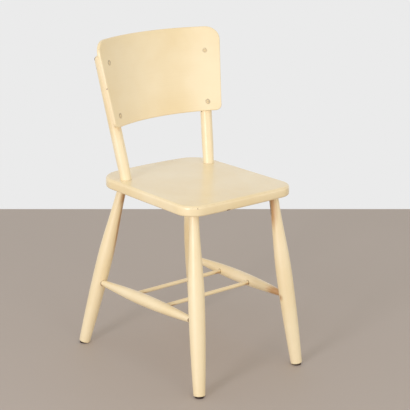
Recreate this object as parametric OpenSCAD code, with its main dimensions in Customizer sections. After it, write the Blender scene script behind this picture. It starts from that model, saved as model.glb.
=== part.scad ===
// Small painted wooden side chair: a bowed plank seat on four turned, splayed legs,
// two cigar-shaped side stretchers joined by two thin cross dowels, and a bent plywood
// back panel screwed to the fronts of two turned back posts.
// Millimetres, +Z up. The origin is on the floor, midway between the four feet.
// The chair faces -Y; "right" and "left" are the sitter's, so right is -X.

/* [Seat] */
// Height of the seat's top face above the floor
seat_h = 454; // [378:1:545]
// Thickness of the seat slab
seat_t = 25; // [22:1:32]
// Width of the seat across its front corners
seat_w_front = 328; // [280:1:400]
// Width of the seat across its rear corners
seat_w_rear = 322; // [280:1:400]
// Distance from the origin forward to the middle of the front edge
seat_front = 202; // [170:1:245]
// Distance from the origin back to the middle of the rear edge
seat_back = 185; // [160:1:225]
// Radius of the gently bowed front edge
front_bow_r = 3200; // [2000:100:5000]
// Radius of the bowed rear edge
rear_bow_r = 1100; // [700:50:3000]
// Plan radius of the front corners
front_corner_r = 44; // [30:1:60]
// Plan radius of the rear corners
rear_corner_r = 58; // [30:1:70]
// Rounding of the upper edge all the way round
top_round = 7; // [3:0.5:9]
// Rounding of the lower edge all the way round
under_round = 5; // [3:0.5:9]

/* [Legs] */
// Where the front legs enter the seat, measured in from its side
front_leg_side_in = 43; // [36:1:60]
// Where the front legs enter the seat, measured in from its front edge
front_leg_front_in = 40; // [34:1:60]
// Where the rear legs enter the seat, measured in from its side
rear_leg_side_in = 58; // [40:1:70]
// Where the rear legs enter the seat, measured in from its rear edge
rear_leg_back_in = 41; // [34:1:60]
// How far the front feet stand outside the tops of their legs
front_splay_out = 32.3; // [10:0.1:60]
// How far the front feet stand ahead of the tops of their legs
front_splay_fore = 60.6; // [30:0.1:90]
// How far the rear feet stand outside the tops of their legs
rear_splay_out = 77.7; // [30:0.1:100]
// How far the rear feet stand behind the tops of their legs
rear_splay_back = 78.6; // [30:0.1:110]
// Diameter of a leg where it meets the seat
leg_top_d = 22.5; // [20:0.5:30]
// Diameter of a leg at its thickest
leg_belly_d = 39; // [32:0.5:46]
// Diameter of a leg at its foot
leg_foot_d = 27.5; // [24:0.5:36]
// Height of the thickest place above the floor
leg_belly_h = 224; // [180:1:280]
// Diameter of the round tenon that enters the seat
leg_tenon_d = 20; // [16:0.5:20]
// Length of that tenon
leg_tenon_l = 17; // [12:1:18]

/* [Stretchers] */
// Height at which the side stretchers cross the front legs
stretcher_front_h = 176; // [130:1:220]
// Height at which the side stretchers cross the rear legs
stretcher_rear_h = 168; // [130:1:220]
// Diameter of a side stretcher at its ends, which are also its tenons
stretcher_end_d = 16; // [13:0.5:18]
// Diameter of a side stretcher at its thickest
stretcher_belly_d = 30; // [24:0.5:36]
// How far a stretcher's end runs past the middle of the leg
stretcher_past_axis = 4; // [0:0.5:6]
// Length of the plain cylindrical stretch at each end
stretcher_plain = 30; // [24:1:40]
// Diameter of the cross dowels
dowel_d = 10; // [8:0.5:12]
// Distance of each cross dowel from the nearer leg, along the side stretcher
dowel_in = 137; // [100:1:160]
// How far a dowel's end runs past the middle of the side stretcher
dowel_past_axis = 3; // [0:0.5:5]

/* [Back] */
// Where a post stands on the seat, measured in from its side
post_side_in = 33; // [28:1:45]
// Where a post stands on the seat, measured in from its rear edge
post_back_in = 90; // [80:1:110]
// Outward lean of a post for each millimetre of height
post_out = 0.095; // [0:0.005:0.12]
// Backward lean of a post for each millimetre of height
post_lean = 0.203; // [0.1:0.005:0.25]
// Diameter of a post where it stands on the seat
post_base_d = 27; // [21:0.5:28]
// Diameter of a post at its thickest
post_belly_d = 29; // [26:0.5:32]
// Diameter of a post near its top
post_top_d = 28.5; // [24:0.5:32]
// Height of a post's thickest place above the seat
post_belly_h = 55; // [40:1:120]
// Height of a post's rounded top above the seat
post_h = 300; // [292:1:330]
// Height of the domed end of a post
post_dome_h = 9; // [5:0.5:12]
// Diameter of a post's tenon in the seat
post_tenon_d = 18; // [14:0.5:19]
// Length of a post's tenon
post_tenon_l = 18; // [12:1:19]
// Thickness of the bent plywood panel
panel_t = 8.5; // [7:0.5:13]
// Radius of the panel's front face
panel_r = 344; // [300:2:600]
// Height of the panel's lower edge above the seat
panel_low = 132.5; // [110:0.5:140]
// Height of the panel's upper edge above the seat
panel_high = 339; // [310:1:380]
// How far the panel reaches past a post's centre at its lower edge
panel_over_low = 19.2; // [14:0.1:30]
// How far the panel reaches past a post's centre at its upper edge
panel_over_high = 23.7; // [14:0.1:34]
// Radius of the panel's upper corners
panel_top_corner_r = 33; // [15:1:45]
// Radius of the panel's lower corners
panel_low_corner_r = 13; // [6:1:25]
// How far the panel hangs out of level, its left side higher, in degrees
panel_turn = 0.6; // [0:0.1:1.2]
// How far the panel hangs to the left of the middle
panel_shift = 2.4; // [0:0.1:4]
// Depth of the hollow cut in each post for the panel to lie in
cradle_depth = 0.5; // [0.3:0.1:3]

/* [Screws] */
// Height of the lower screws above the seat
screw_low_h = 151; // [145:1:170]
// Height of the upper screws above the seat
screw_high_h = 277; // [240:1:284]
// Diameter of a screw's head
screw_head_d = 11.5; // [9:0.5:13]
// Height of the raised dome of the head above its rim
screw_dome_h = 1.6; // [0.8:0.1:2]
// Depth of the head's rim below the panel's front face
screw_sink = 0.6; // [0.4:0.1:1]
// Diameter of a screw's shank
screw_d = 5; // [4:0.1:6]
// Length of a screw below the rim of its head
screw_l = 29; // [24:1:31]
// Width of the driver slot
slot_w = 1.4; // [1:0.1:1.8]
// Depth of the driver slot
slot_depth = 1.7; // [1:0.1:2.2]

/* [Glides] */
// Diameter of the nail-on glide under each foot, square to the leg
glide_d = 22; // [18:0.5:24]
// Height of the middle of a leg's end above the floor; the glide's worn wedge fills it
glide_t = 4; // [3:0.5:6]
// Diameter of a glide's nail
nail_d = 2.5; // [2:0.1:3.5]
// Length of a glide's nail
nail_l = 14; // [8:1:18]

/* [Fits] */
// Gap all round a tenon, dowel, screw or nail in its hole
fit_gap = 0.1; // [0:0.05:0.3]
// Gap between the panel's back and the hollows of the posts
panel_gap = 0.1; // [0:0.05:0.3]

/* [Hidden] */
$fn = 64;

RIGHT = -1;
LEFT = 1;
PAINT = [0.98, 0.91, 0.75];
SCREW_PAINT = [0.90, 0.82, 0.64];
GLIDE_BROWN = [0.20, 0.15, 0.12];

past = 5;            // how far a cutting solid reaches beyond the face that it cuts
profile_steps = 12;  // cones along each half of a turned swelling
dome_steps = 6;      // cones in a post's domed end
seam_turn = 50;      // turn of a round solid about its own axis
arc_steps = 6;       // flats round a quarter turn of an outline or a rim
bow_steps = 3;       // circles that carry each half of the seat's front or rear bow
bow_cheese_r = 20;   // radius of those circles
seat_under = seat_h - seat_t;

// ---- seat outline: four corner arcs, straight sides, bowed front and rear ----
// Middle of a circle of radius r that touches a bowed edge from inside, at a given x
function touch_y(x, bow_r, reach, end, r) =
    end * (reach - bow_r + sqrt(pow(bow_r - r, 2) - x * x));
function bow_y(x, bow_r, reach, end) = touch_y(x, bow_r, reach, end, bow_cheese_r);
front_cx = seat_w_front / 2 - front_corner_r;
rear_cx = seat_w_rear / 2 - rear_corner_r;
front_cy = touch_y(front_cx, front_bow_r, seat_front, -1, front_corner_r);
rear_cy = touch_y(rear_cx, rear_bow_r, seat_back, 1, rear_corner_r);
// Half the seat's width at a given y, along its straight sides
function seat_half_w(y) =
    let (t = (y - front_cy) / (rear_cy - front_cy))
    front_cx + front_corner_r + t * (rear_cx + rear_corner_r - front_cx - front_corner_r);

// ---- places of the turned parts, for the left side (+X) ----
front_top_y = -(seat_front - front_leg_front_in);
rear_top_y = seat_back - rear_leg_back_in;
front_top = [seat_half_w(front_top_y) - front_leg_side_in, front_top_y, seat_under];
rear_top = [seat_half_w(rear_top_y) - rear_leg_side_in, rear_top_y, seat_under];
front_foot = [front_top.x + front_splay_out, front_top.y - front_splay_fore, 0];
rear_foot = [rear_top.x + rear_splay_out, rear_top.y + rear_splay_back, 0];
function at_height(low, high, z) = low + (high - low) * (z - low.z) / (high.z - low.z);
front_joint = at_height(front_foot, front_top, stretcher_front_h);
rear_joint = at_height(rear_foot, rear_top, stretcher_rear_h);
stretcher_dir = (rear_joint - front_joint) / norm(rear_joint - front_joint);
dowel_front_at = front_joint + dowel_in * stretcher_dir;
dowel_rear_at = rear_joint - dowel_in * stretcher_dir;

post_base_y = seat_back - post_back_in;
post_base = [seat_half_w(post_base_y) - post_side_in, post_base_y, seat_h];
post_dir = [post_out, post_lean, 1] / norm([post_out, post_lean, 1]);
function post_at(h) = post_base + h * [post_out, post_lean, 1];

// ---- the panel is a piece of a cylinder that touches both posts at both screws ----
panel_back_r = panel_r + panel_t;
post_r_at_panel = post_top_d / 2;
touch_r = panel_back_r + post_r_at_panel - cradle_depth;
low_touch = post_at(screw_low_h);
high_touch = post_at(screw_high_h);
low_reach = sqrt(pow(touch_r, 2) - pow(low_touch.x, 2));
high_reach = sqrt(pow(touch_r, 2) - pow(high_touch.x, 2));
touch_rise = [high_touch.y - low_touch.y, high_touch.z - low_touch.z];
panel_recline = atan2(touch_rise.x, touch_rise.y) - asin((high_reach - low_reach) / norm(touch_rise));
panel_axis_y = low_touch.y - low_reach / cos(panel_recline);
panel_axis_z = low_touch.z;
// Height along the panel's own axis of the screw beside a point on a post
function along_panel(p) = (p.y - panel_axis_y) * sin(panel_recline) + (p.z - panel_axis_z) * cos(panel_recline);
function behind_axis(p) = (p.y - panel_axis_y) * cos(panel_recline) - (p.z - panel_axis_z) * sin(panel_recline);

// ---- helpers ----
function flip(p, side) = [side * p.x, p.y, p.z];
// A turned part's radius swells from one value to the next along a smooth S or a soft bow
function s_swell(a, b, t) = a + (b - a) * (1 - cos(180 * t)) / 2;
function bow(a, b, t) = a + (b - a) * t * t;
// Points along an arc about a centre, between two directions
function arc(centre, r, from, to) = [
    for (i = [0 : arc_steps])
        let (turn = from + (to - from) * i / arc_steps)
        centre + r * [cos(turn), sin(turn)]
];

// Lays what is drawn along +Z so that it starts at a and points at b. It is also turned a
// little about its own axis, so that a round solid's seam isn't on its steepest line
module along(a, b) {
    run = b - a;
    translate(a)
        rotate([0, acos(run.z / norm(run)), atan2(run.y, run.x)])
            rotate([0, 0, seam_turn])
                children();
}

// A solid turned about +Z from a list of [radius, height] points
module turned(points) {
    low = points[0];
    high = points[len(points) - 1];
    rotate_extrude()
        polygon(concat([[0, low.y]], points, [[0, high.y]]));
}

// Everything between two heights
module level_slice(low, high) {
    reach = 2 * seat_h;
    translate([-reach / 2, -reach / 2, low])
        cube([reach, reach, high - low]);
}

// ---- seat ----
// A round cheese of the seat's thickness with the seat's rounded rim, standing at [x, y]
module rim_cheese(at, r) {
    translate([at.x, at.y, seat_under])
        rotate_extrude($fn = 36)
            polygon(concat(
                [[0, 0]],
                arc([r - under_round, under_round], under_round, -90, 0),
                arc([r - top_round, seat_t - top_round], top_round, 0, 90),
                [[0, seat_t]]
            ));
}

// The slab is what a skin stretched round its four corners and its two bows would hold
module seat_slab() {
    hull()
        for (side = [RIGHT, LEFT]) {
            rim_cheese([side * front_cx, front_cy], front_corner_r);
            rim_cheese([side * rear_cx, rear_cy], rear_corner_r);
            for (i = [0 : bow_steps - 1]) {
                front_x = side * front_cx * i / bow_steps;
                rear_x = side * rear_cx * i / bow_steps;
                rim_cheese([front_x, bow_y(front_x, front_bow_r, seat_front, -1)], bow_cheese_r);
                rim_cheese([rear_x, bow_y(rear_x, rear_bow_r, seat_back, 1)], bow_cheese_r);
            }
        }
}

module seat() {
    color(PAINT)
        difference() {
            seat_slab();
            for (side = [RIGHT, LEFT]) {
                leg_tenon(flip(front_foot, side), flip(front_top, side), fit_gap);
                leg_tenon(flip(rear_foot, side), flip(rear_top, side), fit_gap);
                post_tenon(side, fit_gap);
            }
        }
}

// ---- legs ----
function leg_radius(s, belly, l) = s > belly
    ? s_swell(leg_belly_d / 2, leg_top_d / 2, (s - belly) / (l - belly))
    : bow(leg_belly_d / 2, leg_foot_d / 2, (belly - s) / belly);

// Distance along a leg from the floor to its end, which is cut square to the leg
function foot_end(l) = glide_t * l / seat_under;

// The tenon on a leg's top; with a gap it is the socket that takes it
module leg_tenon(foot, top, gap) {
    l = norm(top - foot);
    along(foot, top)
        translate([0, 0, l - past])
            cylinder(h = past + leg_tenon_l, d = leg_tenon_d + 2 * gap);
}

module leg(foot, top, side) {
    l = norm(top - foot);
    belly = leg_belly_h * l / seat_under;
    end = foot_end(l);
    lower = [for (i = [0 : profile_steps]) end + (belly - end) * i / profile_steps];
    upper = [for (i = [1 : profile_steps]) belly + (l - belly) * i / profile_steps];
    stations = concat(lower, upper);
    color(PAINT)
        difference() {
            union() {
                intersection() {
                    along(foot, top)
                        turned(concat(
                            [for (s = stations) [leg_radius(s, belly, l), s]],
                            [[leg_top_d / 2, l + past]]
                        ));
                    level_slice(0, seat_under);
                }
                leg_tenon(foot, top, 0);
            }
            stretcher_tenons(side, fit_gap);
            glide_nail(foot, top, fit_gap);
        }
}

// ---- side stretchers and cross dowels ----
// Both tenoned ends of a side stretcher; with a gap, the sockets in the legs
module stretcher_tenons(side, gap) {
    a = flip(front_joint, side);
    b = flip(rear_joint, side);
    l = norm(b - a);
    along(a, b) {
        translate([0, 0, -stretcher_past_axis])
            cylinder(h = stretcher_past_axis + stretcher_plain, d = stretcher_end_d + 2 * gap);
        translate([0, 0, l - stretcher_plain])
            cylinder(h = stretcher_past_axis + stretcher_plain, d = stretcher_end_d + 2 * gap);
    }
}

module side_stretcher(side) {
    a = flip(front_joint, side);
    b = flip(rear_joint, side);
    l = norm(b - a);
    steps = 2 * profile_steps;
    swell_l = l - 2 * stretcher_plain;
    color(PAINT)
        difference() {
            along(a, b)
                turned(concat(
                    [[stretcher_end_d / 2, -stretcher_past_axis]],
                    [for (i = [0 : steps])
                        [stretcher_end_d / 2
                            + (stretcher_belly_d - stretcher_end_d) / 2 * sin(180 * i / steps),
                        stretcher_plain + swell_l * i / steps]],
                    [[stretcher_end_d / 2, l + stretcher_past_axis]]
                ));
            dowel_rod(dowel_front_at, fit_gap);
            dowel_rod(dowel_rear_at, fit_gap);
        }
}

// A dowel from one side stretcher to the other; with a gap, its two holes
module dowel_rod(at, gap) {
    reach = at.x + dowel_past_axis;
    translate([-reach, at.y, at.z])
        rotate([0, 90, 0])
            cylinder(h = 2 * reach, d = dowel_d + 2 * gap);
}

module cross_dowel(at) {
    color(PAINT)
        dowel_rod(at, 0);
}

// ---- back posts ----
function post_radius(s, belly, top) = s < belly
    ? s_swell(post_base_d / 2, post_belly_d / 2, s / belly)
    : s_swell(post_belly_d / 2, post_top_d / 2, (s - belly) / (top - belly));

module post_tenon(side, gap) {
    along(flip(post_base, side), flip(post_base - post_dir, side))
        translate([0, 0, -past])
            cylinder(h = past + post_tenon_l, d = post_tenon_d + 2 * gap);
}

module back_post(side) {
    stretch = 1 / post_dir.z;
    belly = post_belly_h * stretch;
    top = (post_h - post_dome_h) * stretch;
    rise = [for (i = [0 : profile_steps]) belly * i / profile_steps];
    run = [for (i = [1 : profile_steps]) belly + (top - belly) * i / profile_steps];
    color(PAINT)
        difference() {
            union() {
                intersection() {
                    along(flip(post_base, side), flip(post_at(post_h), side))
                        turned(concat(
                            [[post_base_d / 2, -past]],
                            [for (s = concat(rise, run)) [post_radius(s, belly, top), s]],
                            [for (i = [1 : dome_steps])
                                let (turn = 90 * i / (dome_steps + 1))
                                [post_top_d / 2 * cos(turn), top + post_dome_h * sin(turn)]]
                        ));
                    level_slice(seat_h, seat_h + 2 * post_h);
                }
                post_tenon(side, 0);
            }
            // the hollow in which the panel lies
            panel_frame()
                translate([0, 0, -panel_high])
                    cylinder(h = 2 * panel_high, r = panel_back_r + panel_gap, $fn = 360);
            for (h = [screw_low_h, screw_high_h])
                at_screw(side, h)
                    screw_hole(fit_gap);
        }
}

// ---- back panel ----
// Places what is drawn about the panel's own axis of bending
module panel_frame() {
    translate([0, panel_axis_y, panel_axis_z])
        rotate([-panel_recline, 0, 0])
            children();
}

// Middle of a corner's arc, given the corner's height, its radius and a sign (1 top, -1 bottom)
panel_slope = (post_out * (panel_high - panel_low) + panel_over_high - panel_over_low)
    / (panel_high - panel_low);
panel_side_n = [1, -panel_slope] / norm([1, -panel_slope]);
panel_low_half = post_at(panel_low).x + panel_over_low;
panel_mid = (panel_low + panel_high) / 2;
function panel_corner(z, r, end) =
    let (cz = z - end * r)
    [panel_low_half - (r + panel_side_n.y * (cz - panel_low)) / panel_side_n.x, cz];

module panel_outline() {
    top = panel_corner(panel_high, panel_top_corner_r, 1);
    low = panel_corner(panel_low, panel_low_corner_r, -1);
    side_angle = atan2(panel_side_n.y, panel_side_n.x);
    half = concat(
        arc(low, panel_low_corner_r, -90, side_angle),
        arc(top, panel_top_corner_r, side_angle, 90)
    );
    last = len(half) - 1;
    polygon(concat(half, [for (i = [last : -1 : 0]) [-half[i].x, half[i].y]]));
}

module back_panel() {
    depth = 2 * panel_back_r;
    color(PAINT)
        difference() {
            intersection() {
                panel_frame()
                    translate([0, 0, -panel_high])
                        difference() {
                            cylinder(h = 2 * panel_high, r = panel_back_r, $fn = 360);
                            translate([0, 0, -past])
                                cylinder(h = 2 * panel_high + 2 * past, r = panel_r, $fn = 360);
                        }
                translate([0, panel_axis_y + depth, seat_h])
                    rotate([90, 0, 0])
                        linear_extrude(depth)
                            translate([panel_shift, panel_mid])
                                rotate(panel_turn)
                                    translate([0, -panel_mid])
                                        panel_outline();
            }
            for (side = [RIGHT, LEFT])
                for (h = [screw_low_h, screw_high_h])
                    at_screw(side, h)
                        screw_hole(fit_gap);
        }
}

// ---- screws ----
// Places what is drawn at a screw: the origin is in the rim of its head, +Z points into the post
module at_screw(side, h) {
    p = flip(post_at(h), side);
    panel_frame()
        translate([0, 0, along_panel(p)])
            rotate([0, 0, -atan2(p.x, behind_axis(p))])
                translate([0, panel_r + screw_sink, 0])
                    rotate([-90, 0, 0])
                        children();
}

screw_cone_h = (screw_head_d - screw_d) / 2;
screw_tip_l = screw_d;

module screw_hole(gap) {
    turned([
        [screw_head_d / 2 + gap, -past],
        [screw_head_d / 2 + gap, 0],
        [screw_d / 2 + gap, screw_cone_h],
        [screw_d / 2 + gap, screw_l]
    ]);
}

module screw(side, h) {
    dome_r = (pow(screw_head_d / 2, 2) + pow(screw_dome_h, 2)) / (2 * screw_dome_h);
    color(SCREW_PAINT)
        at_screw(side, h)
            difference() {
                union() {
                    intersection() {
                        translate([0, 0, dome_r - screw_dome_h])
                            sphere(dome_r, $fn = 128);
                        translate([0, 0, -screw_dome_h])
                            cylinder(h = screw_dome_h, d = screw_head_d);
                    }
                    turned([
                        [screw_head_d / 2, 0],
                        [screw_d / 2, screw_cone_h],
                        [screw_d / 2, screw_l - screw_tip_l],
                        [screw_d / 10, screw_l]
                    ]);
                }
                translate([-screw_head_d / 2, -slot_w / 2, -screw_dome_h - past])
                    cube([screw_head_d, slot_w, past + slot_depth]);
            }
}

// ---- glides ----
module glide_nail(foot, top, gap) {
    along(foot, top)
        translate([0, 0, foot_end(norm(top - foot)) - glide_t / 2])
            cylinder(h = glide_t / 2 + nail_l, d = nail_d + 2 * gap);
}

// The glide is square to the leg above and worn level below
module glide(foot, top) {
    color(GLIDE_BROWN) {
        intersection() {
            along(foot, top)
                translate([0, 0, -past])
                    cylinder(h = past + foot_end(norm(top - foot)), d = glide_d);
            level_slice(0, seat_under);
        }
        glide_nail(foot, top, 0);
    }
}

seat();
leg(flip(front_foot, RIGHT), flip(front_top, RIGHT), RIGHT);  // leg_front_right
leg(front_foot, front_top, LEFT);  // leg_front_left
leg(flip(rear_foot, RIGHT), flip(rear_top, RIGHT), RIGHT);  // leg_rear_right
leg(rear_foot, rear_top, LEFT);  // leg_rear_left
side_stretcher(RIGHT);  // side_stretcher_right
side_stretcher(LEFT);  // side_stretcher_left
cross_dowel(dowel_front_at);  // cross_dowel_front
cross_dowel(dowel_rear_at);  // cross_dowel_rear
back_post(RIGHT);  // back_post_right
back_post(LEFT);  // back_post_left
back_panel();
screw(RIGHT, screw_high_h);  // screw_upper_right
screw(LEFT, screw_high_h);  // screw_upper_left
screw(RIGHT, screw_low_h);  // screw_lower_right
screw(LEFT, screw_low_h);  // screw_lower_left
glide(flip(front_foot, RIGHT), flip(front_top, RIGHT));  // glide_front_right
glide(front_foot, front_top);  // glide_front_left
glide(flip(rear_foot, RIGHT), flip(rear_top, RIGHT));  // glide_rear_right
glide(rear_foot, rear_top);  // glide_rear_left
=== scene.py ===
# %% [markdown]
# # A painted side chair
# This chair is a small wooden side chair for a kitchen or a cafe. A flat seat slab stands on
# four turned legs, two turned stretchers and two dowels tie the legs, and a bent back panel is
# screwed to two turned posts. All of its wood is brushed with one cream enamel, which has
# yellowed a little and is chipped in a few places.
#
# The construction model holds every real size, so this script builds each piece again at the
# same place, with finer shapes, and spends its effort on the paint.

# %% Load the construction model
import math
import bpy
import bmesh
from mathutils import Matrix, Vector
from mathutils.bvhtree import BVHTree


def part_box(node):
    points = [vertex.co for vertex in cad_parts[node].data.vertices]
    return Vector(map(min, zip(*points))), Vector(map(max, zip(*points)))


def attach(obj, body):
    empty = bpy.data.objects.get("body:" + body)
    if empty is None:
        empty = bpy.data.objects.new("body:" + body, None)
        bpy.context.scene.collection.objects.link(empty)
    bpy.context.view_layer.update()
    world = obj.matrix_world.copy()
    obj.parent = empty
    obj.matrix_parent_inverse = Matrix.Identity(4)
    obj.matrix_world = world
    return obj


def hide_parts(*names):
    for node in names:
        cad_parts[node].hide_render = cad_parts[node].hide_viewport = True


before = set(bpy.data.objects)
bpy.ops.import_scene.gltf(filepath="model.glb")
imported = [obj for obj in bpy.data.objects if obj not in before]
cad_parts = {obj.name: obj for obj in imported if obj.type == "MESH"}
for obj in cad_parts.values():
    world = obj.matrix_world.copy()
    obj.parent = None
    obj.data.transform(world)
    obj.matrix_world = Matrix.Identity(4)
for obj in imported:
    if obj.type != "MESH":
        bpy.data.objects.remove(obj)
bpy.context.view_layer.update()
print("pieces in the construction model:", len(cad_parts))

# %% [markdown]
# ## The camera
# The chair is seen from its right and a little above, with a long lens from about three metres,
# as furniture is shown for sale. A long lens keeps upright edges nearly parallel.

# %% Place the camera
CAMERA_AT = (-1.8172, -2.3314, 1.2693)
CAMERA_TURN = math.radians(-38.553)
CAMERA_DIP = math.radians(16.62)
LENS_MM = 110.6

lens = bpy.data.cameras.new("camera")
lens.lens = LENS_MM
lens.sensor_width = 36
camera = bpy.data.objects.new("camera", lens)
camera.location = CAMERA_AT
camera.rotation_euler = (math.pi / 2 - CAMERA_DIP, 0, CAMERA_TURN)
bpy.context.scene.collection.objects.link(camera)
bpy.context.scene.camera = camera
bpy.context.scene.view_settings.view_transform = "Standard"
print("camera is", round(camera.location.length, 2), "m from the chair's foot")

# %% [markdown]
# ## Colours and shader nodes
# Paint colours are easy to write as the hex values of a colour picker, but a shader wants
# linear light, so one function turns them. One more function adds a shader node: its settings
# and its sockets are given by name, and a socket may be given a value or another node's output.

# %% Helpers for colours and nodes
def linear(hex_colour):
    """Linear RGBA of an sRGB hex colour"""
    parts = [int(hex_colour[i:i + 2], 16) / 255 for i in (1, 3, 5)]
    return (*[c / 12.92 if c <= 0.04045 else ((c + 0.055) / 1.055) ** 2.4 for c in parts], 1)


def add(tree, kind, sockets=None, **settings):
    """A new node with its settings, and with its sockets set or linked"""
    node = tree.nodes.new("ShaderNode" + kind)
    for name, value in settings.items():
        setattr(node, name, value)
    for name, value in (sockets or {}).items():
        if isinstance(value, bpy.types.NodeSocket):
            tree.links.new(value, node.inputs[name])
        else:
            node.inputs[name].default_value = value
    return node


def new_material(name):
    """An empty material, its node tree, and its output node"""
    material = bpy.data.materials.new(name)
    material.use_nodes = True
    tree = material.node_tree
    tree.nodes.clear()
    return material, tree, add(tree, "OutputMaterial")


def shine(tree, output, sockets):
    """Ends a material with one principled surface"""
    surface = add(tree, "BsdfPrincipled", sockets)
    tree.links.new(surface.outputs[0], output.inputs["Surface"])


print("cream enamel in linear light:", [round(c, 3) for c in linear("#FAE6BA")])

# %% [markdown]
# ## The studio
# A plain pale floor runs back to where a pale wall would start. The wall is the world itself, as
# the camera and shiny paint see it, so that nothing stands in the way of a look from behind.

# %% Pale floor
METRES = 0.001
FLOOR_BACK = 4.203
FLOOR_SPAN = 14

floor_mesh = bmesh.new()
bmesh.ops.create_grid(floor_mesh, x_segments=1, y_segments=1, size=FLOOR_SPAN / 2)
bmesh.ops.translate(floor_mesh, verts=floor_mesh.verts, vec=(0, FLOOR_BACK - FLOOR_SPAN / 2, 0))
bmesh.ops.rotate(floor_mesh, verts=floor_mesh.verts, matrix=Matrix.Rotation(CAMERA_TURN, 3, "Z"))
bmesh.ops.translate(floor_mesh, verts=floor_mesh.verts, vec=(CAMERA_AT[0], CAMERA_AT[1], 0))
floor = bpy.data.objects.new("floor", bpy.data.meshes.new("floor"))
floor_mesh.to_mesh(floor.data)
bpy.context.scene.collection.objects.link(floor)

floor_paint, tree, output = new_material("pale_studio_floor")
shine(tree, output, {"Base Color": linear("#B5A89C"), "Roughness": 0.6})
floor.data.materials.append(floor_paint)
print("the floor ends", FLOOR_BACK, "m from the camera")

# %% Pale wall and sky light
WALL = linear("#EBEBEB")
SKY_LIGHT = 0.75
world = bpy.data.worlds.new("studio")
bpy.context.scene.world = world
world.use_nodes = True
tree = world.node_tree
tree.nodes.clear()
path = add(tree, "LightPath")
seen = add(tree, "Math", {0: path.outputs["Is Camera Ray"], 1: path.outputs["Is Glossy Ray"]},
           operation="MAXIMUM")
seen = add(tree, "Math", {0: seen.outputs[0], 1: path.outputs["Is Transmission Ray"]},
           operation="MAXIMUM")
light = add(tree, "Background", {"Color": (1, 1, 1, 1), "Strength": SKY_LIGHT})
wall = add(tree, "Background", {"Color": WALL, "Strength": 1})
either = add(tree, "MixShader", {0: seen.outputs[0], 1: light.outputs[0], 2: wall.outputs[0]})
add(tree, "OutputWorld", {"Surface": either.outputs[0]})
print("sky light:", SKY_LIGHT)

# %% [markdown]
# ## Soft lights
# A cool key light at the chair's right gives soft shadows. Two weaker warm lights, one in front
# and a low one at the front left, keep the shaded sides of round legs readable. All three are
# area lights, because a larger light gives a softer shadow.

# %% Three area lights
def area_light(name, at, size, watts, colour, aim=(0, 0, 0.4)):
    """A square soft light that points at the chair"""
    data = bpy.data.lights.new(name, "AREA")
    data.size = size
    data.energy = watts
    data.color = colour
    lamp = bpy.data.objects.new(name, data)
    lamp.location = at
    lamp.rotation_euler = (Vector(aim) - Vector(at)).to_track_quat("-Z", "Y").to_euler()
    lamp.visible_camera = False
    bpy.context.scene.collection.objects.link(lamp)
    print(f"{name}: {watts} W, {size} m across")


COOL, WARM = (0.97, 0.985, 1.1), (1, 0.98, 0.92)
area_light("key", at=(-3.4, -1.2, 1.15), size=0.9, watts=51, colour=COOL)
area_light("window", at=(-0.5, -3.2, 1.5), size=1.3, watts=11, colour=WARM, aim=(0, 0.1, 0.6))
area_light("fill", at=(1.9, -2.2, 0.5), size=1.0, watts=5, colour=WARM, aim=(0, 0, 0.2))

# %% [markdown]
# ## The pieces' common steps
# Every piece is modelled in millimetres, as a maker would measure it. A turned piece is made
# upright about its own axis and is then laid between its two ends. Before that, each point
# keeps its own upright place in the attribute "grain", so brush marks and wood run along the
# piece however it leans.

# %% Helpers that finish a piece
pieces = {}
shapes = {}
GRAIN_STEP = Vector((0.37, 0.61, 1.31))
ARRIS_TILT, ARRIS_SPREAD = 0.7, 0.35
SHARP_ANGLE = math.radians(35)


def own_shift(index):
    """How far the piece with this place in the order is shifted in the attribute grain"""
    return GRAIN_STEP * (index + 1)


def keep_grain(bm, flat_axis=2):
    """Stores each point's own place, shifted so that no two pieces match, and where the edges
    between the flat ends or faces and the sides are rounded"""
    grain = bm.verts.layers.float_vector.new("grain")
    arris = bm.verts.layers.float.new("arris")
    bmesh.ops.recalc_face_normals(bm, faces=bm.faces)
    bm.normal_update()
    shift = own_shift(len(pieces))
    for v in bm.verts:
        v[grain] = v.co * METRES + shift
        off = abs(abs(v.normal[flat_axis]) - ARRIS_TILT)
        v[arris] = max(0, 1 - off / ARRIS_SPREAD)


def lay(bm, start, end):
    """Moves what stands on the origin along +Z so that it starts at one point towards another"""
    run = Vector(end) - Vector(start)
    turn = Vector((0, 0, 1)).rotation_difference(run).to_matrix()
    bmesh.ops.transform(bm, verts=bm.verts, matrix=Matrix.Translation(start) @ turn.to_4x4())


def cut(bm, at, normal):
    """Cuts off what lies beyond a plane and closes the cut; returns the new face's edges"""
    geometry = bm.verts[:] + bm.edges[:] + bm.faces[:]
    bmesh.ops.bisect_plane(bm, geom=geometry, dist=0.0001, plane_co=at, plane_no=normal,
                           clear_outer=True)
    rim = [e for e in bm.edges if e.is_boundary]
    bmesh.ops.holes_fill(bm, edges=rim)
    return rim


def finish_piece(bm, name, slot):
    """Turns a piece to metres, gives it to the chair, and lets it stand for its solid"""
    bmesh.ops.recalc_face_normals(bm, faces=bm.faces)
    bmesh.ops.scale(bm, verts=bm.verts, vec=(METRES, METRES, METRES))
    shapes[name] = BVHTree.FromBMesh(bm)
    mesh = bpy.data.meshes.new(name + "_shape")
    bm.to_mesh(mesh)
    bm.free()
    mesh.shade_smooth()
    mesh.set_sharp_from_angle(angle=SHARP_ANGLE)
    piece = bpy.data.objects.new(name + "_painted", mesh)
    bpy.context.scene.collection.objects.link(piece)
    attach(piece, "root")
    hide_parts(name)
    pieces[name] = (piece, slot)
    low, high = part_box(name)
    off = max(abs(a - b) for a, b in zip(
        [f(v.co[i] for v in mesh.vertices) for f in (min, max) for i in range(3)],
        [*low, *high]))
    print(f"{name}: {len(mesh.polygons)} faces, {off / METRES:.1f} mm off its solid's box")


def both_sides(point):
    """The right and the left place of a point given for the left side"""
    x, y, z = point
    return {"right": (-x, y, z), "left": (x, y, z)}


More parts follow.
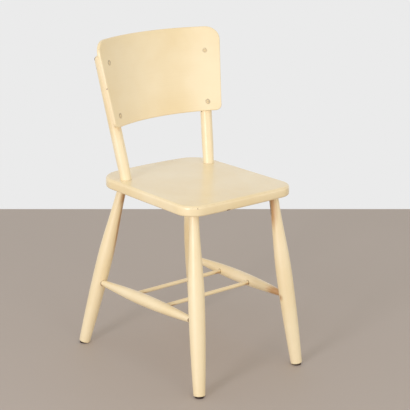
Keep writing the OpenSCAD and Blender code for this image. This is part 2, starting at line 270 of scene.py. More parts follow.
print("the first piece's marks are shifted by", list(own_shift(0)), "m")

# %% [markdown]
# ## Turned wood
# Legs, stretchers and posts come off a lathe, so each is one outline spun about its axis. The
# outline is a short list of rules, thick where the turner left a belly, and it is sampled
# closely enough to carry the narrow lines of dirt and painted shade at the joints.

# %% Turn an outline on the lathe
AROUND = 48
STATION = 3


def swell(a, b, t):
    """A smooth S from one radius to another"""
    return a + (b - a) * (1 - math.cos(math.pi * t)) / 2


def stations(start, end):
    """Heights along a turned piece, closely and evenly spaced"""
    count = math.ceil((end - start) / STATION)
    return [start + (end - start) * i / count for i in range(count + 1)]


def turned(outline):
    """A solid of revolution about Z from (radius, height) points"""
    bm = bmesh.new()
    ends = [(0, outline[0][1]), *outline, (0, outline[-1][1])]
    points = [bm.verts.new((r, 0, z)) for r, z in ends]
    edges = [bm.edges.new(pair) for pair in zip(points, points[1:])]
    bmesh.ops.spin(bm, geom=points + edges, cent=(0, 0, 0), axis=(0, 0, 1),
                   angle=2 * math.pi, steps=AROUND, use_merge=True)
    bmesh.ops.remove_doubles(bm, verts=bm.verts, dist=0.001)
    bmesh.ops.recalc_face_normals(bm, faces=bm.faces)
    return bm


print("a turned piece has", AROUND, "sides and a ring every", STATION, "mm")

# %% [markdown]
# ### Legs
# A leg is thickest a little above its middle, thins in a soft S to the seat, and runs in a long
# bow down to a narrower foot. Its top is cut level under the seat, and its foot is cut square
# to the leg, so it stands a little on edge, on the worn wedge of its glide.

# %% Four legs
SEAT_TOP = 454
SEAT_UNDER = 429
GLIDE_T = 4
LEG_TOP_D, LEG_BELLY_D, LEG_FOOT_D = 22.5, 39, 27.5
LEG_BELLY_AT = 224 / SEAT_UNDER
FRONT_FOOT, FRONT_TOP = (153.368, -222.6, 0), (121.068, -162, SEAT_UNDER)
REAR_FOOT, REAR_TOP = (180.461, 222.6, 0), (102.761, 144, SEAT_UNDER)
CUT_SPARE = 8
FOOT_ROUND = 0.8


def leg_radius(s, length):
    """The leg's radius at a distance from its foot"""
    belly = LEG_BELLY_AT * length
    if s > belly:
        return swell(LEG_BELLY_D / 2, LEG_TOP_D / 2, min(1, (s - belly) / (length - belly)))
    low = min(1, (belly - s) / belly)
    return LEG_BELLY_D / 2 + (LEG_FOOT_D - LEG_BELLY_D) / 2 * low * low


def leg(name, foot, top):
    """A turned leg from the floor point of its axis to the seat's underside"""
    length = (Vector(top) - Vector(foot)).length
    foot_end = GLIDE_T * length / SEAT_UNDER
    bm = turned([(leg_radius(s, length), s) for s in stations(foot_end, length + CUT_SPARE)])
    rim = [e for e in bm.edges if all(abs(v.co.z - foot_end) < 0.01 and v.co.xy.length > 1
                                      for v in e.verts)]
    bmesh.ops.bevel(bm, geom=rim, offset=FOOT_ROUND, segments=3, affect="EDGES", profile=0.5,
                    material=-1)
    keep_grain(bm)
    lay(bm, foot, top)
    cut(bm, (0, 0, SEAT_UNDER), (0, 0, 1))
    finish_piece(bm, name, "leg_enamel")


for side in ("right", "left"):
    leg("leg_front_" + side, both_sides(FRONT_FOOT)[side], both_sides(FRONT_TOP)[side])
    leg("leg_rear_" + side, both_sides(REAR_FOOT)[side], both_sides(REAR_TOP)[side])

# %% [markdown]
# ### Side stretchers and cross dowels
# A stretcher is a slim spindle: short plain ends that sit in the legs, and a belly between
# them. Two straight dowels cross the chair from one stretcher to the other.

# %% Two stretchers and two dowels
FRONT_JOINT, REAR_JOINT = (140.117, -197.738, 176), (150.033, 191.819, 168)
STRETCHER_END_D, STRETCHER_BELLY_D = 16, 30
STRETCHER_PLAIN, STRETCHER_PAST = 30, 4
DOWEL_D, DOWEL_PAST = 10, 3
DOWEL_FRONT, DOWEL_REAR = (143.603, -60.812, 173.188), (146.547, 54.893, 170.812)


def stretcher_radius(s, length):
    """The stretcher's radius at a distance from the front leg's axis"""
    t = (s - STRETCHER_PLAIN) / (length - 2 * STRETCHER_PLAIN)
    rise = math.sin(math.pi * t) if 0 < t < 1 else 0
    return STRETCHER_END_D / 2 + (STRETCHER_BELLY_D - STRETCHER_END_D) / 2 * rise


for side in ("right", "left"):
    start, end = both_sides(FRONT_JOINT)[side], both_sides(REAR_JOINT)[side]
    length = (Vector(end) - Vector(start)).length
    bm = turned([(stretcher_radius(s, length), s)
                 for s in stations(-STRETCHER_PAST, length + STRETCHER_PAST)])
    keep_grain(bm)
    lay(bm, start, end)
    finish_piece(bm, "side_stretcher_" + side, "stretcher_enamel")

for name, at in (("cross_dowel_front", DOWEL_FRONT), ("cross_dowel_rear", DOWEL_REAR)):
    reach = at[0] + DOWEL_PAST
    bm = turned([(DOWEL_D / 2, s) for s in stations(0, 2 * reach)])
    keep_grain(bm)
    lay(bm, (-reach, at[1], at[2]), (reach, at[1], at[2]))
    finish_piece(bm, name, "dowel_enamel")

# %% [markdown]
# ### Back posts
# Each post rises from the seat, leaning back and a little outwards. It is all but straight and
# ends in a low dome behind the panel, which lies in a shallow hollow in its front.

# %% The panel's cylinder, and two posts
PANEL_R, PANEL_T = 344, 8.5
PANEL_RECLINE = math.radians(13.8446)
PANEL_AXIS = Vector((0, -221.774, 605))
POST_BASE = Vector((128.291, 95, SEAT_TOP))
POST_RUN = Vector((0.095, 0.203, 1))
POST_H, POST_DOME_H, POST_BELLY_H = 300, 9, 55
POST_BASE_D, POST_BELLY_D, POST_TOP_D = 27, 29, 28.5
DOME_STEPS = 10
from_panel = Matrix.Translation(PANEL_AXIS) @ Matrix.Rotation(-PANEL_RECLINE, 4, "X")
to_panel = from_panel.inverted()


def post_at(side, height):
    """The point on a post's axis at a height above the seat"""
    x, y, z = POST_BASE + height * POST_RUN
    return Vector((-x if side == "right" else x, y, z))


def post_radius(s, belly, top):
    """The post's radius at a distance from its base, which swells to the belly and then thins"""
    if s < belly:
        return swell(POST_BASE_D / 2, POST_BELLY_D / 2, max(0, s / belly))
    return swell(POST_BELLY_D / 2, POST_TOP_D / 2, (s - belly) / (top - belly))


for side in ("right", "left"):
    stretch = POST_RUN.length
    belly, top = POST_BELLY_H * stretch, (POST_H - POST_DOME_H) * stretch
    outline = [(post_radius(s, belly, top), s) for s in stations(-CUT_SPARE, top)]
    for i in range(1, DOME_STEPS):
        turn = math.pi / 2 * i / DOME_STEPS
        outline.append((POST_TOP_D / 2 * math.cos(turn), top + POST_DOME_H * math.sin(turn)))
    bm = turned(outline)
    keep_grain(bm)
    lay(bm, post_at(side, 0), post_at(side, POST_H))
    cut(bm, (0, 0, SEAT_TOP), (0, 0, -1))
    for v in bm.verts:
        local = to_panel @ v.co
        out = Vector((local.x, local.y, 0))
        if out.length < PANEL_R + PANEL_T:
            out *= (PANEL_R + PANEL_T) / out.length
            v.co = from_panel @ Vector((out.x, out.y, local.z))
    finish_piece(bm, "back_post_" + side, "post_enamel")

# %% [markdown]
# ## The seat
# The seat is one flat slab with four round corners, a slightly bowed front and a more bowed
# rear. It starts as a flat four-sided face. Its corners are rounded, its front and rear are
# drawn out into bows, and the face is then drawn down to the slab's thickness and its rims are
# rounded. A close grid of cuts gives the flat faces points enough to carry dirt, painted shade
# and wear.

# %% The seat's sizes
FRONT_HALF_W, REAR_HALF_W = 164, 161
SEAT_FRONT, SEAT_BACK = 202, 185
FRONT_BOW, REAR_BOW = 4.2, 11.8
FRONT_CORNER, REAR_CORNER = 44, 58
TOP_ROUND, UNDER_ROUND = 7, 5
CORNER_STEPS, BOW_CUTS, RIM_STEPS = 12, 40, 6
LEAST_LONG_EDGE = 60
GRID = 5
print("seat:", 2 * FRONT_HALF_W, "by", SEAT_FRONT + SEAT_BACK, "by", SEAT_TOP - SEAT_UNDER, "mm")


# %% A grid of cuts
def grid_cuts(bm, spacing, axes):
    """Cuts a mesh along evenly spaced planes square to the given axes"""
    for axis in axes:
        reach = max(abs(v.co[axis]) for v in bm.verts)
        count = int(reach / spacing)
        for i in range(-count, count + 1):
            normal = Vector((0, 0, 0))
            normal[axis] = 1
            bmesh.ops.bisect_plane(bm, geom=bm.verts[:] + bm.edges[:] + bm.faces[:], dist=0.05,
                                   plane_co=normal * i * spacing, plane_no=normal)


print("grid spacing:", GRID, "mm")

# %% Outline of the seat
bm = bmesh.new()
corners = [(-FRONT_HALF_W, FRONT_BOW - SEAT_FRONT), (FRONT_HALF_W, FRONT_BOW - SEAT_FRONT),
           (REAR_HALF_W, SEAT_BACK - REAR_BOW), (-REAR_HALF_W, SEAT_BACK - REAR_BOW)]
bm.faces.new([bm.verts.new((x, y, SEAT_TOP)) for x, y in corners])
for in_front, radius in ((True, FRONT_CORNER), (False, REAR_CORNER)):
    pair = [v for v in bm.verts if (v.co.y < 0) == in_front and abs(v.co.x) > REAR_HALF_W - 1]
    bmesh.ops.bevel(bm, geom=pair, offset=radius, segments=CORNER_STEPS, affect="VERTICES",
                    profile=0.5, material=-1, clamp_overlap=False)
long_edges = [e for e in bm.edges if abs(e.verts[0].co.y - e.verts[1].co.y) < 0.01
              and e.calc_length() > LEAST_LONG_EDGE]
bmesh.ops.subdivide_edges(bm, edges=long_edges, cuts=BOW_CUTS)
for v in bm.verts:
    if v.co.y < 0:
        v.co.y -= FRONT_BOW * (1 - (v.co.x / FRONT_HALF_W) ** 2)
    else:
        v.co.y += REAR_BOW * (1 - (v.co.x / REAR_HALF_W) ** 2)
print("points round the seat:", len(bm.verts))

# %% Thickness and rims of the seat
drawn = bmesh.ops.extrude_face_region(bm, geom=bm.faces[:])
low_verts = [g for g in drawn["geom"] if isinstance(g, bmesh.types.BMVert)]
bmesh.ops.translate(bm, verts=low_verts, vec=(0, 0, SEAT_UNDER - SEAT_TOP))
for height, radius in ((SEAT_TOP, TOP_ROUND), (SEAT_UNDER, UNDER_ROUND)):
    rim = [e for e in bm.edges if all(abs(v.co.z - height) < 0.01 for v in e.verts)
           and e.calc_face_angle(0) > 1]
    bmesh.ops.bevel(bm, geom=rim, offset=radius, segments=RIM_STEPS, affect="EDGES",
                    profile=0.5, material=-1)
grid_cuts(bm, GRID, (0, 1))
keep_grain(bm)
finish_piece(bm, "seat", "seat_enamel")

# %% [markdown]
# ## The back panel
# The panel is a thin board bent to part of a cylinder, wider at its top, with large upper and
# small lower corners. It is made flat, as a sheet of ply is cut before it is bent, and every
# point is then wrapped round the cylinder. Its edges stay square to its face, as on bent ply.
# It was screwed on by eye: its left side hangs a little higher, and it sits a little to the left.

# %% The panel's sizes
PANEL_LOW, PANEL_HIGH = 586.5, 793
PANEL_LOW_HALF, PANEL_FLARE = 160.078, 0.116792
PANEL_TOP_CORNER, PANEL_LOW_CORNER = 33, 13
PANEL_TURN, PANEL_SHIFT = math.radians(0.6), 2.4
PANEL_RIM = 1.8
PANEL_CORNER_STEPS, PANEL_RIM_STEPS = 10, 4
SCREW_HEIGHTS = {"lower": 151, "upper": 277}
SCREW_AREA, SCREW_AREA_CUTS = 11, 4
print("panel:", PANEL_HIGH - PANEL_LOW, "mm high and", PANEL_T, "mm thick")


# %% Places on the bent panel
def screw_place(level, side):
    """The point of the panel's front face in front of a post where a screw goes in"""
    beside = to_panel @ post_at(side, SCREW_HEIGHTS[level])
    outward = Vector((beside.x, beside.y, 0)).normalized()
    return from_panel @ (outward * PANEL_R + Vector((0, 0, beside.z)))


def panel_height(x, height):
    """How far up the cylinder's own axis a point of the panel is, so that its height is level"""
    forward = math.sqrt(PANEL_R ** 2 - x * x)
    return (height - PANEL_AXIS.z + forward * math.sin(PANEL_RECLINE)) / math.cos(PANEL_RECLINE)


for side in ("right", "left"):
    print("upper screw,", side, [round(c, 1) for c in screw_place("upper", side)])

# %% Flat panel
bm = bmesh.new()
top_half = PANEL_LOW_HALF + PANEL_FLARE * (PANEL_HIGH - PANEL_LOW)
corners = [(-PANEL_LOW_HALF, PANEL_LOW), (PANEL_LOW_HALF, PANEL_LOW),
           (top_half, PANEL_HIGH), (-top_half, PANEL_HIGH)]
bm.faces.new([bm.verts.new((x, 0, z)) for x, z in corners])
for z, radius in ((PANEL_LOW, PANEL_LOW_CORNER), (PANEL_HIGH, PANEL_TOP_CORNER)):
    pair = [v for v in bm.verts if abs(v.co.z - z) < 0.01]
    bmesh.ops.bevel(bm, geom=pair, offset=radius, segments=PANEL_CORNER_STEPS,
                    affect="VERTICES", profile=0.5, material=-1, clamp_overlap=False)
drawn = bmesh.ops.extrude_face_region(bm, geom=bm.faces[:])
back_verts = [g for g in drawn["geom"] if isinstance(g, bmesh.types.BMVert)]
bmesh.ops.translate(bm, verts=back_verts, vec=(0, PANEL_T, 0))
bmesh.ops.recalc_face_normals(bm, faces=bm.faces)
rims = [e for e in bm.edges if abs(e.verts[0].co.y - e.verts[1].co.y) < 0.01]
bmesh.ops.bevel(bm, geom=rims, offset=PANEL_RIM, segments=PANEL_RIM_STEPS, affect="EDGES",
                profile=0.5, material=-1)
bmesh.ops.translate(bm, verts=bm.verts, vec=(0, 0, -PANEL_LOW))
grid_cuts(bm, GRID, (0, 2))
bmesh.ops.translate(bm, verts=bm.verts, vec=(0, 0, PANEL_LOW))
keep_grain(bm, flat_axis=1)
print("points of the flat panel:", len(bm.verts))

# %% Hang, refine and bend the panel
middle = Vector((0, 0, (PANEL_LOW + PANEL_HIGH) / 2))
bmesh.ops.rotate(bm, verts=bm.verts, cent=middle, matrix=Matrix.Rotation(-PANEL_TURN, 3, "Y"))
bmesh.ops.translate(bm, verts=bm.verts, vec=(PANEL_SHIFT, 0, 0))
for level in SCREW_HEIGHTS:
    for side in ("right", "left"):
        place = screw_place(level, side)
        middle = Vector((place.x, 0, place.z))
        around = [e for e in bm.edges
                  if all((v.co - middle).length < SCREW_AREA for v in e.verts)]
        bmesh.ops.subdivide_edges(bm, edges=around, cuts=SCREW_AREA_CUTS, use_grid_fill=True)
for v in bm.verts:
    x, depth, height = v.co
    up = panel_height(x, height)
    around = math.asin(x / PANEL_R)
    r = PANEL_R + depth
    v.co = from_panel @ Vector((r * math.sin(around), r * math.cos(around), up))
finish_piece(bm, "back_panel", "panel_enamel")

# %% [markdown]
# ## Screws
# Four slotted screws with low domed heads hold the panel to the posts. They were painted over
# with the chair, so paint half fills their slots.

# %% Four slotted screws
SCREW_HEAD_D, SCREW_DOME_H, SCREW_SINK, SCREW_D, SCREW_L = 11.5, 1.6, 0.6, 5, 29
SLOT_W, SLOT_DEPTH = 1.4, 1.7
HEAD_RINGS = 8
SLOT_TURN = {("upper", "right"): 20, ("lower", "right"): 35,
             ("upper", "left"): 75, ("lower", "left"): -10}


def screw(level, side):
    """A screw with a low domed and slotted head, driven square to the panel"""
    cone = (SCREW_HEAD_D - SCREW_D) / 2
    outline = [(SCREW_D / 10, -SCREW_L), (SCREW_D / 2, -SCREW_L + SCREW_D), (SCREW_D / 2, -cone),
               (SCREW_HEAD_D / 2, 0)]
    for i in range(1, HEAD_RINGS):
        t = i / HEAD_RINGS
        outline.append((SCREW_HEAD_D / 2 * (1 - t), SCREW_DOME_H * (1 - (1 - t) ** 2)))
    bm = turned(outline)
    sunk_layer = bm.verts.layers.float.new("sunk")
    for offset in (-SLOT_W / 2, SLOT_W / 2):
        bmesh.ops.bisect_plane(bm, geom=bm.verts[:] + bm.edges[:] + bm.faces[:], dist=0.001,
                               plane_co=(0, offset, 0), plane_no=(0, 1, 0))
    slot = [f for f in bm.faces if f.calc_center_median().z > 0.01
            and abs(f.calc_center_median().y) < SLOT_W / 2]
    sunk = bmesh.ops.extrude_face_region(bm, geom=slot)
    bmesh.ops.delete(bm, geom=slot, context="FACES")
    for v in [g for g in sunk["geom"] if isinstance(g, bmesh.types.BMVert)]:
        v.co.z = SCREW_DOME_H - SLOT_DEPTH
        v[sunk_layer] = 1
    bmesh.ops.rotate(bm, verts=bm.verts,
                     matrix=Matrix.Rotation(math.radians(SLOT_TURN[level, side]), 3, "Z"))
    keep_grain(bm)
    face = to_panel @ screw_place(level, side)
    outward = Vector((face.x, face.y, 0)).normalized()
    head = face + outward * SCREW_SINK
    lay(bm, from_panel @ head, from_panel @ (head - outward))
    finish_piece(bm, f"screw_{level}_{side}", "screw_steel")


for level in ("lower", "upper"):
    for side in ("right", "left"):
        screw(level, side)

# %% [markdown]
# ## Glides
# Under each foot sits a small brown plastic glide, held by its nail. It lies square to the leg
# and years of use have worn its underside level with the floor.

# %% Four glides
GLIDE_D, GLIDE_WEAR, NAIL_D, NAIL_L = 22, 0.5, 2.5, 14


def glide(name, foot, top):
    """A plastic disc and its nail, square to the leg and worn level with the floor"""
    end = GLIDE_T * (Vector(top) - Vector(foot)).length / SEAT_UNDER
    bm = turned([(GLIDE_D / 2, -CUT_SPARE), (GLIDE_D / 2, 0), (GLIDE_D / 2, end),
                 (NAIL_D / 2, end), (NAIL_D / 2, end + NAIL_L)])
    keep_grain(bm)
    lay(bm, foot, top)
    rim = cut(bm, (0, 0, 0), (0, 0, -1))
    bmesh.ops.bevel(bm, geom=rim, offset=GLIDE_WEAR, segments=2, affect="EDGES", profile=0.5,
                    material=-1)
    finish_piece(bm, name, "glide_plastic")


for side in ("right", "left"):
    glide("glide_front_" + side, both_sides(FRONT_FOOT)[side], both_sides(FRONT_TOP)[side])
    glide("glide_rear_" + side, both_sides(REAR_FOOT)[side], both_sides(REAR_TOP)[side])

# %% [markdown]
# ## Where the pieces meet
# Brushed paint is thin and dirt gathers where two pieces meet, and shade falls there too. Each
# point of each piece keeps its distance from the neighbour's skin in the attribute "near", in
# millimetres, and the paint then draws a dark line of dirt and painted shade wherever that
# distance is close to nothing. Inside a neighbour the distance is negative, except in a screw,
# whose slotted head has no clear inside.

# %% Distance to the neighbours
REACH = 0.012
INSIDE = -0.3


def boxes_meet(one, other):
    """True where two pieces' boxes come within reach of each other"""
    (low, high), (other_low, other_high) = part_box(one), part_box(other)
    return all(low[i] - REACH < other_high[i] and other_low[i] - REACH < high[i]
               for i in range(3))


for name, (piece, slot) in pieces.items():
    around = [(shapes[other], pieces[other][1]) for other in pieces
              if other != name and boxes_meet(name, other)]
    layer = piece.data.attributes.new("near", "FLOAT", "POINT")
    for v in piece.data.vertices:
        nearest = REACH
        for shape, finish in around:
            spot, normal, _, distance = shape.find_nearest(v.co, REACH)
            if spot is not None:
                outside = (finish == "screw_steel"
                           or (v.co - spot).dot(normal) > INSIDE * distance)
                nearest = min(nearest, distance if outside else -distance)
        layer.data[v.index].value = nearest / METRES
    print(name, "has", len(around), "neighbours")

# %% [markdown]
# ## The paint
# All of the wood carries one finish: oil enamel, brushed on by hand in several coats and left to
# yellow. To the eye that gives a warm cream that drifts a little in hue, fine streaks along the
# brush, a gloss that is broken by the brush marks, small chips that go down to a greyish
# undercoat and then to brown wood, and a tan stain where hands and feet have thinned the film,
# which under the seat is also painted shade on the legs' tops, a stretcher's end and the dowels'
# undersides.
# The marks that stand out are listed by place, and the finer wear comes from noise.

# %% Marks in the paint, by piece
# Each mark: the piece, its middle in the piece's own place (mm), and its half sizes (mm)
CHIPS = [
    ("leg_front_left", (-10, 5, 404), (5, 5, 25)),
    ("side_stretcher_right", (-7, -1, 22), (9, 9, 3.5)),
    ("leg_rear_right", (6, -9.5, 428), (4.5, 4.5, 14)),
    ("seat", (-50, -201, 431), (6, 2.5, 2)),
    ("seat", (-136, -196, 449), (1.5, 1.5, 1.5)),
    ("seat", (-146, -190, 451), (1.2, 1.2, 1.2)),
    ("back_panel", (-182, 2, 776), (4, 3, 3)),
    ("back_panel", (-172, 2, 682), (1.8, 3, 1.8)),
    ("back_post_left", (-14, 0, 132), (2.5, 2.5, 2.5)),
    ("back_post_right", (-12, 4, 301), (3, 4, 5)),
    ("back_post_right", (-13, 5, 277), (2, 2, 3)),
]
# Stains: tan for rubbed, thinned paint, and under the seat also painted shade on leg tops, a
# stretcher end and dowel undersides
STAINS_AND_SHADE = [
    ("leg_front_left", (-14, 1, 408), (18, 18, 66)),
    ("leg_rear_right", (6, -12, 418), (15, 15, 44)),
    ("leg_rear_right", (11, -12, 340), (13, 13, 130)),
    ("leg_rear_left", (-12, 0, 405), (9, 9, 40)),
    ("leg_front_left", (-14, 2, 178), (9, 9, 12)),
    ("side_stretcher_left", (-9, 0, 30), (26, 26, 46)),
    ("side_stretcher_right", (-5, 8, 372), (10, 10, 18)),
    ("cross_dowel_front", (4, -4, 30), (5, 5, 26)),
    ("cross_dowel_front", (4, -3, 272), (7, 7, 14)),
    ("cross_dowel_front", (8, -4, 146), (5, 5, 160)),
    ("cross_dowel_rear", (4, -4, 30), (5, 5, 26)),
    ("cross_dowel_rear", (4, -3, 272), (7, 7, 14)),
    ("cross_dowel_rear", (8, -4, 146), (5, 5, 160)),
    ("back_post_right", (0, -20, 124), (7, 7, 9)),
]


def marks_of(slot, marks):
    """The middle and half sizes, in metres, of each mark on the pieces that share a finish"""
    order = list(pieces)
    return [(Vector(middle) * METRES + own_shift(order.index(name)), Vector(half) * METRES)
            for name, middle, half in marks if pieces[name][1] == slot]


def nearest_mark(tree, grain, marks, start):
    """How far each place is from the nearest mark, counted in that mark's own half sizes"""
    for middle, half in marks:
        own = add(tree, "Mapping", {"Vector": grain, "Location": middle, "Scale": half},
                  vector_type="TEXTURE").outputs[0]
        away = add(tree, "VectorMath", {0: own}, operation="LENGTH").outputs["Value"]
        start = add(tree, "Math", {0: start, 1: away}, operation="MINIMUM").outputs[0]
    return start


print(len(CHIPS), "chips and", len(STAINS_AND_SHADE), "stains")

# %% [markdown]
# ### Patterns over a piece
# Brushed paint varies at four sizes: streaks left by single bristles, which run along the wood,
# specks, slow sags of the wet film, and clouds of yellowing. Each is one noise over the piece's
# own place, and the streaks are squeezed across the brush by a small scale along it.

# %% Noise at four sizes
# noise cells in a metre: streaks 2.4 mm apart, specks 4.8 mm, sags 25 mm and clouds 143 mm
FINE, SPECKLED, COARSE, PATCHY = 420, 210, 40, 7


def patterns(tree, brushed):
    """The stored attributes and the noises that the paint is made from, by name"""
    grain = add(tree, "Attribute", attribute_name="grain").outputs["Vector"]
    along = add(tree, "Mapping", {"Vector": grain, "Scale": brushed}).outputs[0]
    noises = {
        "streaks": {"Vector": along, "Scale": FINE, "Detail": 3},
        "spots": {"Vector": grain, "Scale": SPECKLED, "Detail": 4, "Roughness": 0.6},
        "sags": {"Vector": grain, "Scale": COARSE, "Detail": 2},
        "clouds": {"Vector": grain, "Scale": PATCHY, "Detail": 3},
    }
    found = {name: add(tree, "TexNoise", sockets).outputs["Fac"]
             for name, sockets in noises.items()}
    found["grain"] = grain
    for name in ("near", "arris"):
        found[name] = add(tree, "Attribute", attribute_name=name).outputs["Fac"]
    return found


print("streaks are", round(1 / FINE / METRES, 1), "mm apart")

# %% [markdown]
# ### The cream film
# The top coat is cream that has yellowed in clouds. It is thinned along rubbed edges and a
# little along each streak, and there the colour beneath shines through.

# %% Cream that has yellowed and thinned
CREAM, YELLOWED, THINNED = "#FAE6BA", "#F3DAA5", "#D9B77C"
RUBBED_THIN, STREAK_THIN = 0.6, 0.04


def cream_film(tree, look):
    """The film's colour, and how rubbed each place is"""
    yellowing = add(tree, "MapRange", {0: look["clouds"], 1: 0.35, 2: 0.7}).outputs[0]
    paint = add(tree, "Mix", {0: yellowing, 6: linear(CREAM), 7: linear(YELLOWED)},
                data_type="RGBA").outputs[2]
    rubbed = add(tree, "Math", {0: look["arris"], 1: look["spots"]},
                 operation="MULTIPLY").outputs[0]
    thinning = add(tree, "MapRange", {0: rubbed, 1: 0.35, 2: 0.7, 4: RUBBED_THIN}).outputs[0]
    streaky = add(tree, "MapRange", {0: look["streaks"], 1: 0.5, 2: 0.75,
                                     4: STREAK_THIN}).outputs[0]
    thinning = add(tree, "Math", {0: thinning, 1: streaky}, operation="MAXIMUM").outputs[0]
    paint = add(tree, "Mix", {0: thinning, 6: paint, 7: linear(THINNED)},
                data_type="RGBA").outputs[2]
    return paint, rubbed


print("cream", CREAM, "yellows to", YELLOWED)

# %% [markdown]
# ### Stains, grime and painted shade
# Where hands and feet rub, the film has worn thin and brown, softly at its edges and longer
# along the brush, and the same tan paints the shade on the parts under the seat. Dirt has
# gathered in the corners where two pieces meet, broken along its length, and the same dark
# line paints the shade in those corners.

# %% Brown stains with painted shade, and dirty corners with painted shade
STAIN_AND_SHADE_TAN, GRIME_AND_SHADE = "#B67C35", "#6A4722"
STAIN_AND_SHADE_DEPTH = 0.85
# where a stain or its painted shade starts and is full, counted in its half sizes, and a distance
# past every mark
STAIN_AND_SHADE_START, STAIN_AND_SHADE_FULL, FAR = 1.35, 0.6, 9.0
# distances from the neighbour, in millimetres, at which grime and painted corner shade start and
# are full
GRIME_AND_SHADE_START, GRIME_AND_SHADE_FULL = 0.6, -1


def stained_and_shaded(tree, look, slot, paint):
    """The film's colour under the stains and the painted shade listed for this finish"""
    marks = marks_of(slot, STAINS_AND_SHADE)
    if not marks:
        return paint
    away = nearest_mark(tree, look["grain"], marks, FAR)
    blurred = add(tree, "Math", {0: look["streaks"], 1: 0.5, 2: away},
                  operation="MULTIPLY_ADD").outputs[0]
    stain_and_shade = add(tree, "MapRange", {0: blurred, 1: STAIN_AND_SHADE_START, 2: STAIN_AND_SHADE_FULL,
                                   3: 0, 4: STAIN_AND_SHADE_DEPTH},
                interpolation_type="SMOOTHSTEP").outputs[0]
    return add(tree, "Mix", {0: stain_and_shade, 6: paint, 7: linear(STAIN_AND_SHADE_TAN)},
               data_type="RGBA").outputs[2]


def grimy_and_shaded(tree, look, grime_and_shade, paint):
    """The colour with dirt and painted shade in the corners between pieces, and how dark each
    place is
    """
    patchy_near = add(tree, "Math", {0: look["spots"], 1: -3, 2: look["near"]},
                      operation="MULTIPLY_ADD").outputs[0]
    corner_dirt_and_shade = add(tree, "MapRange", {0: patchy_near, 1: GRIME_AND_SHADE_START, 2: GRIME_AND_SHADE_FULL,
                                    3: 0, 4: grime_and_shade},
                 interpolation_type="SMOOTHSTEP").outputs[0]
    broken = add(tree, "MapRange", {0: look["sags"], 1: 0.35, 2: 0.6, 3: 0.3, 4: 1}).outputs[0]
    corner_dirt_and_shade = add(tree, "Math", {0: corner_dirt_and_shade, 1: broken}, operation="MULTIPLY").outputs[0]
    paint = add(tree, "Mix", {0: corner_dirt_and_shade, 6: paint, 7: linear(GRIME_AND_SHADE)},
                data_type="RGBA").outputs[2]
    return paint, corner_dirt_and_shade


print("a full stain hides", round(STAIN_AND_SHADE_DEPTH * 100), "% of the cream")

# %% [markdown]
# ### Chips
# A chip breaks through the brittle film in steps: a ragged rim of greyish undercoat shows first,
# and bare wood in the middle. The listed chips and the specks along rubbed edges share one
# depth, counted from 0 in the middle of a chip.

# %% Chips down to the undercoat and the wood
UNDERCOAT, WOOD_DARK, WOOD_LIGHT = "#DCCBA6", "#6B4523", "#A3763F"
# how rubbed an edge is when specks of it chip, and the depths where undercoat and wood show
EDGE_WEAR, UNDERCOAT_SHOWS, WOOD_SHOWS, CHIP_SOFT = 0.6, 1.1, 0.95, 0.1
RAGGED = 1.4


def chipped(tree, look, slot, rubbed, paint):
    """The colour with its chips, and where the top coat is gone"""
    depth = add(tree, "MapRange", {0: rubbed, 1: EDGE_WEAR - 0.05, 2: EDGE_WEAR + 0.05,
                                   3: 2, 4: 0.6}).outputs[0]
    depth = nearest_mark(tree, look["grain"], marks_of(slot, CHIPS), depth)
    ragged = add(tree, "Math", {0: look["spots"], 1: RAGGED, 2: -RAGGED / 2},
                 operation="MULTIPLY_ADD").outputs[0]
    depth = add(tree, "Math", {0: depth, 1: ragged}, operation="ADD").outputs[0]
    primed = add(tree, "MapRange", {0: depth, 1: UNDERCOAT_SHOWS,
                                    2: UNDERCOAT_SHOWS - CHIP_SOFT}).outputs[0]
    bare = add(tree, "MapRange", {0: depth, 1: WOOD_SHOWS, 2: WOOD_SHOWS - CHIP_SOFT}).outputs[0]
    wood = add(tree, "Mix", {0: look["streaks"], 6: linear(WOOD_DARK), 7: linear(WOOD_LIGHT)},
               data_type="RGBA").outputs[2]
    colour = add(tree, "Mix", {0: primed, 6: paint, 7: linear(UNDERCOAT)},
                 data_type="RGBA").outputs[2]
    colour = add(tree, "Mix", {0: bare, 6: colour, 7: wood}, data_type="RGBA").outputs[2]
    return colour, primed


print("undercoat", UNDERCOAT, "over wood from", WOOD_DARK, "to", WOOD_LIGHT)

# %% [markdown]
# ### One enamel for all the wood
# Enamel is a tinted oil film with a clear gloss, so the shader is a plain paint with a coat over
# it. The seat's coat is the smoothest, where clothes have polished it. Sags and brush marks are
# low relief, and a chip steps down by the film's thickness.

# %% Brushed oil enamel
# relief in millimetres: a brush mark, a sag and the step down into a chip
BRUSH_DEPTH, SAG_DEPTH, FILM = 0.015, 0.35, 0.3
GLOSS, DULL = (0.42, 0.55), 0.8


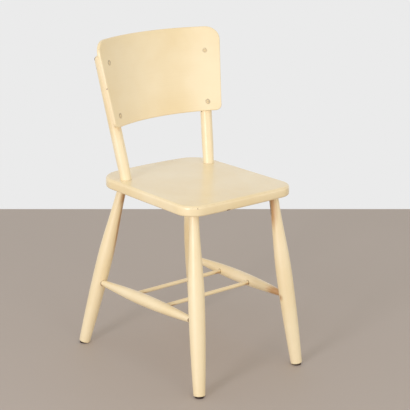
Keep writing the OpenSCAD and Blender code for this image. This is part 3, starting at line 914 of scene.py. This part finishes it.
def enamel(slot, grime_and_shade, coat=0.42, brushed=(1, 1, 0.03)):
    """Old brushed enamel, whose streaks are stretched along the axis with a small scale"""
    material, tree, output = new_material(slot)
    look = patterns(tree, brushed)
    paint, rubbed = cream_film(tree, look)
    paint = stained_and_shaded(tree, look, slot, paint)
    paint, corner_dirt_and_shade = grimy_and_shaded(tree, look, grime_and_shade, paint)
    colour, primed = chipped(tree, look, slot, rubbed, paint)

    # gloss: dulled in clouds, lost on grime with its painted corner shade, and on bare wood
    gloss = add(tree, "MapRange", {0: look["sags"], 1: 0.3, 2: 0.7, 3: GLOSS[0],
                                   4: GLOSS[1]}).outputs[0]
    dull = add(tree, "Math", {0: primed, 1: corner_dirt_and_shade}, operation="MAXIMUM").outputs[0]
    rough = add(tree, "Mix", {0: dull, 2: gloss, 3: DULL}).outputs[0]

    # relief: slow sags, brush marks, and the step down into a chip
    relief = add(tree, "Math", {0: look["sags"], 1: SAG_DEPTH}, operation="MULTIPLY").outputs[0]
    relief = add(tree, "Math", {0: look["streaks"], 1: BRUSH_DEPTH, 2: relief},
                 operation="MULTIPLY_ADD").outputs[0]
    relief = add(tree, "Math", {0: primed, 1: -FILM, 2: relief},
                 operation="MULTIPLY_ADD").outputs[0]
    bump = add(tree, "Bump", {"Height": relief, "Distance": METRES, "Strength": 1})

    shine(tree, output, {"Base Color": colour, "Roughness": rough, "Normal": bump.outputs[0],
                         "IOR": 1.5, "Specular IOR Level": 0.8, "Coat Weight": 1,
                         "Coat Roughness": coat})
    return material


materials = {
    # how dark the dirt and painted shade at each piece's joints may get
    "leg_enamel": enamel("leg_enamel", grime_and_shade=0.6),
    "stretcher_enamel": enamel("stretcher_enamel", grime_and_shade=0.8),
    "dowel_enamel": enamel("dowel_enamel", grime_and_shade=0.5),
    "post_enamel": enamel("post_enamel", grime_and_shade=0.25),
    "seat_enamel": enamel("seat_enamel", grime_and_shade=0.2, coat=0.24, brushed=(0.03, 1, 1)),
    # the panel's high value paints a shade ring round each screw head
    "panel_enamel": enamel("panel_enamel", grime_and_shade=0.6, coat=0.36, brushed=(0.03, 1, 1)),
}
print("enamel nodes on the seat:", len(materials["seat_enamel"].node_tree.nodes))

# %% [markdown]
# ## Screws and glides
# The screws are steel, painted over with the chair: cream heads whose slots show dark metal and
# dirt, and whose rims are darkened with painted shade where they meet the panel. The glides are
# dark brown moulded plastic, matt and scratched pale where they are rubbed.

# %% Painted screw steel
# noise cells in a metre: lumps of paint 1.1 mm across
SCREW_LUMPS = 900

material, tree, output = new_material("screw_steel")
grain = add(tree, "Attribute", attribute_name="grain").outputs["Vector"]
near = add(tree, "Attribute", attribute_name="near").outputs["Fac"]
sunk = add(tree, "Attribute", attribute_name="sunk").outputs["Fac"]
spots = add(tree, "TexNoise", {"Vector": grain, "Scale": SCREW_LUMPS, "Detail": 3}).outputs["Fac"]
paint = add(tree, "Mix", {0: spots, 6: linear("#F8E3B8"), 7: linear("#ECD3A0")},
            data_type="RGBA").outputs[2]
# painted shade: the head's rim darkens where it nears the panel; the slots show real dark metal
rim = add(tree, "MapRange", {0: near, 1: 1.0, 2: 0.1, 4: 0.9}).outputs[0]
slot_metal_and_rim_shade = add(tree, "Math", {0: rim, 1: sunk}, operation="MAXIMUM").outputs[0]
slot_metal_and_rim_shade = add(tree, "Math", {0: slot_metal_and_rim_shade, 1: spots}, operation="MULTIPLY").outputs[0]
slot_metal_and_rim_shade = add(tree, "MapRange", {0: slot_metal_and_rim_shade, 1: 0.25, 2: 0.55}).outputs[0]
colour = add(tree, "Mix", {0: slot_metal_and_rim_shade, 6: paint, 7: linear("#75501C")}, data_type="RGBA").outputs[2]
bump = add(tree, "Bump", {"Height": spots, "Distance": METRES * 0.1, "Strength": 1})
shine(tree, output, {"Base Color": colour, "Roughness": 0.4, "Normal": bump.outputs[0]})
materials["screw_steel"] = material
print("paint lumps on a screw are", round(1 / SCREW_LUMPS / METRES, 1), "mm across")

# %% Scuffed glide plastic
# noise cells in a metre: scratches 1.7 mm apart
SCUFFS = 600

material, tree, output = new_material("glide_plastic")
grain = add(tree, "Attribute", attribute_name="grain").outputs["Vector"]
scratches = add(tree, "TexNoise", {"Vector": grain, "Scale": SCUFFS, "Detail": 5}).outputs["Fac"]
scuffed = add(tree, "MapRange", {0: scratches, 1: 0.5, 2: 0.7}).outputs[0]
colour = add(tree, "Mix", {0: scuffed, 6: linear("#2E2018"), 7: linear("#6B5443")},
             data_type="RGBA").outputs[2]
rough = add(tree, "MapRange", {0: scratches, 1: 0.3, 2: 0.7, 3: 0.5, 4: 0.8}).outputs[0]
bump = add(tree, "Bump", {"Height": scratches, "Distance": METRES * 0.2, "Strength": 1})
shine(tree, output, {"Base Color": colour, "Roughness": rough, "Normal": bump.outputs[0]})
materials["glide_plastic"] = material

for piece, slot in pieces.values():
    piece.data.materials.append(materials[slot])
print("finishes:", ", ".join(materials))
